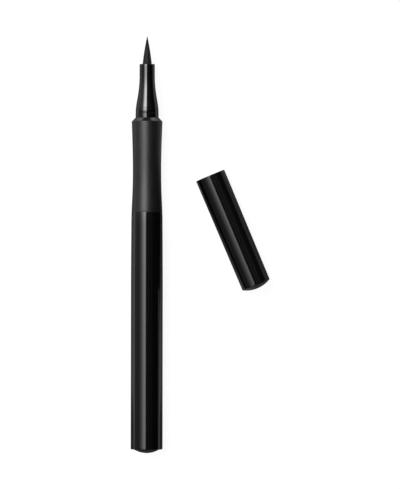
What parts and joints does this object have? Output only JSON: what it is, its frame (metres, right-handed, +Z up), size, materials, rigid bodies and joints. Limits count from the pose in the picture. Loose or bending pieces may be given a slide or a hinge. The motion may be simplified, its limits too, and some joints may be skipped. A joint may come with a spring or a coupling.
{
  "type": "liquid eyeliner pen",
  "caption": "Slim round liquid eyeliner pen with a waisted grip, tapered nose and pointed felt tip, its pull-off cap lying beside it.",
  "frame": {"origin": "middle of the layout's footprint, on the surface that the pen and its cap lie on", "axes": "+Y along the pen towards its point, +X towards the cap, +Z up from the surface"},
  "size_m": [0.0436, 0.1308, 0.01],
  "materials": {
    "gloss_black": "polished injection moulding",
    "soft_black": "fine matte, soft touch",
    "felt": "pressed fibre wet with ink",
    "wick": "bonded fibre rod",
    "clear_plastic": "natural translucent",
    "white_plastic": "natural white",
    "steel": "bright"
  },
  "bodies": {
    "pen": {"barrel": "gloss_black", "grip_sleeve": "soft_black", "nose_section": "gloss_black", "nib": "felt", "relay_wick": "wick", "collector": "white_plastic", "ink_tank": "clear_plastic", "tank_plug": "clear_plastic", "tail_plug": "gloss_black"},
    "cap": {"cap_shell": "gloss_black", "cap_spring": "steel"},
    "inner_cap": {"inner_cap": "white_plastic"},
    "stir_ball": {"stir_ball": "steel"}
  },
  "joints": [
    {"name": "cap_pull", "type": "slide", "parent": "pen", "child": "cap", "axis": [0.3891, -0.9212, 0], "range_m": [0, 0.0266]},
    {"name": "inner_cap_slide", "type": "slide", "parent": "cap", "child": "inner_cap", "axis": [0.3891, -0.9212, 0], "range_m": [0, 0.006], "stiffness_N_per_m": 150, "springref_m": -0.0015, "deforming": ["cap_spring"]},
    {"name": "ball_run", "type": "slide", "parent": "pen", "child": "stir_ball", "axis": [0, 1, 0], "range_m": [-0.0139, 0.0139]}
  ]
}
